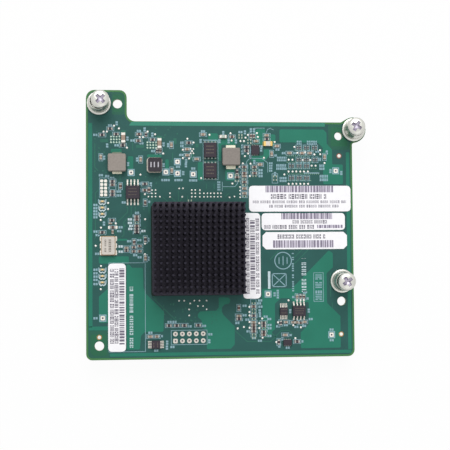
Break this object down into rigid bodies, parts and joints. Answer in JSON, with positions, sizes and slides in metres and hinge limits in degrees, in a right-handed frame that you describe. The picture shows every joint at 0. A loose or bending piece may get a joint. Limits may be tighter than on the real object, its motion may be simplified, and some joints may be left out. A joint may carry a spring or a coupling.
{
  "type": "fibre channel host bus adapter",
  "caption": "Mezzanine adapter card with a pin-fin cooled processor, sprung captive screws and an array connector underneath.",
  "frame": {"origin": "centre of the array connector's mating face, on the keying rib between its two bays", "axes": "+Z out of the component side of the board, +X towards the edge with the two right-hand screws, +Y towards the edge with the fixing tab"},
  "size_m": [0.104, 0.0987, 0.0211],
  "materials": {
    "board": "satin solder mask",
    "heat_sink": "black anodised",
    "thermal_pad": "matte",
    "package": "satin",
    "moulded_black": "matte moulded",
    "nickel": "bright nickel plate",
    "spring_steel": "drawn wire",
    "connector_plastic": "matte",
    "contact_gold": "gold plate",
    "iron_powder": "pressed powder",
    "tin": "tinned",
    "light_ceramic": "unglazed ceramic",
    "capacitor": "satin ceramic",
    "lamp": "gloss",
    "paper": "coated paper"
  },
  "bodies": {
    "card": {"circuit_board": "board", "heat_sink": "heat_sink", "thermal_pad": "thermal_pad", "package_lid": "moulded_black", "package_substrate": "package", "tab_ferrule": "nickel", "ear_ferrule": "nickel", "edge_ferrule": "nickel", "connector_housing": "connector_plastic", "contact_row_1": "contact_gold", "contact_row_2": "contact_gold", "contact_row_3": "contact_gold", "contact_row_4": "contact_gold", "contact_row_5": "contact_gold", "contact_row_6": "contact_gold", "left_inductor_core": "iron_powder", "left_inductor_terminal_north": "tin", "left_inductor_terminal_south": "tin", "middle_inductor_core": "iron_powder", "middle_inductor_terminal_north": "tin", "middle_inductor_terminal_south": "tin", "choke_base": "light_ceramic", "choke_core": "moulded_black", "upper_power_switch": "moulded_black", "lower_power_switch": "moulded_black", "supply_controller": "moulded_black", "reset_chip": "moulded_black", "flash_memory": "moulded_black", "bus_driver": "moulded_black", "voltage_monitor": "moulded_black", "clock_buffer": "moulded_black", "oscillator_base": "light_ceramic", "oscillator_lid": "tin", "left_bulk_capacitor": "capacitor", "middle_bulk_capacitor": "capacitor", "right_bulk_capacitor": "capacitor", "chip_fuse": "light_ceramic", "indicator_1": "lamp", "indicator_2": "lamp", "indicator_3": "lamp", "indicator_4": "lamp", "indicator_5": "lamp", "indicator_6": "lamp", "left_label": "paper", "side_label": "paper", "upper_label": "paper", "middle_label": "paper", "lower_label": "paper"},
    "tab_spring": {"tab_spring": "spring_steel"},
    "tab_screw": {"tab_screw": "nickel"},
    "ear_spring": {"ear_spring": "spring_steel"},
    "ear_screw": {"ear_screw": "nickel"},
    "edge_spring": {"edge_spring": "spring_steel"},
    "edge_screw": {"edge_screw": "nickel"}
  },
  "joints": [
    {"name": "tab_screw_press", "type": "slide", "parent": "card", "child": "tab_spring", "axis": [-0.0958, 0, -0.9954], "range_m": [0, 0.0023], "stiffness_N_per_m": 500, "deforming": ["tab_spring"]},
    {"name": "tab_screw_turn", "type": "hinge", "parent": "tab_spring", "child": "tab_screw", "pos_m": [-0.07445, 0.04125, 0.0092], "axis": [0.0958, 0, 0.9954], "continuous": true},
    {"name": "ear_screw_press", "type": "slide", "parent": "card", "child": "ear_spring", "axis": [0.0958, 0, -0.9954], "range_m": [0, 0.0023], "stiffness_N_per_m": 500, "deforming": ["ear_spring"]},
    {"name": "ear_screw_turn", "type": "hinge", "parent": "ear_spring", "child": "ear_screw", "pos_m": [0.0201, 0.0319, 0.0092], "axis": [-0.0958, 0, 0.9954], "continuous": true},
    {"name": "edge_screw_press", "type": "slide", "parent": "card", "child": "edge_spring", "axis": [0, 0, -1], "range_m": [0, 0.0023], "stiffness_N_per_m": 500, "deforming": ["edge_spring"]},
    {"name": "edge_screw_turn", "type": "hinge", "parent": "edge_spring", "child": "edge_screw", "pos_m": [0.01505, -0.0246, 0.0092], "axis": [0, 0, 1], "continuous": true}
  ]
}
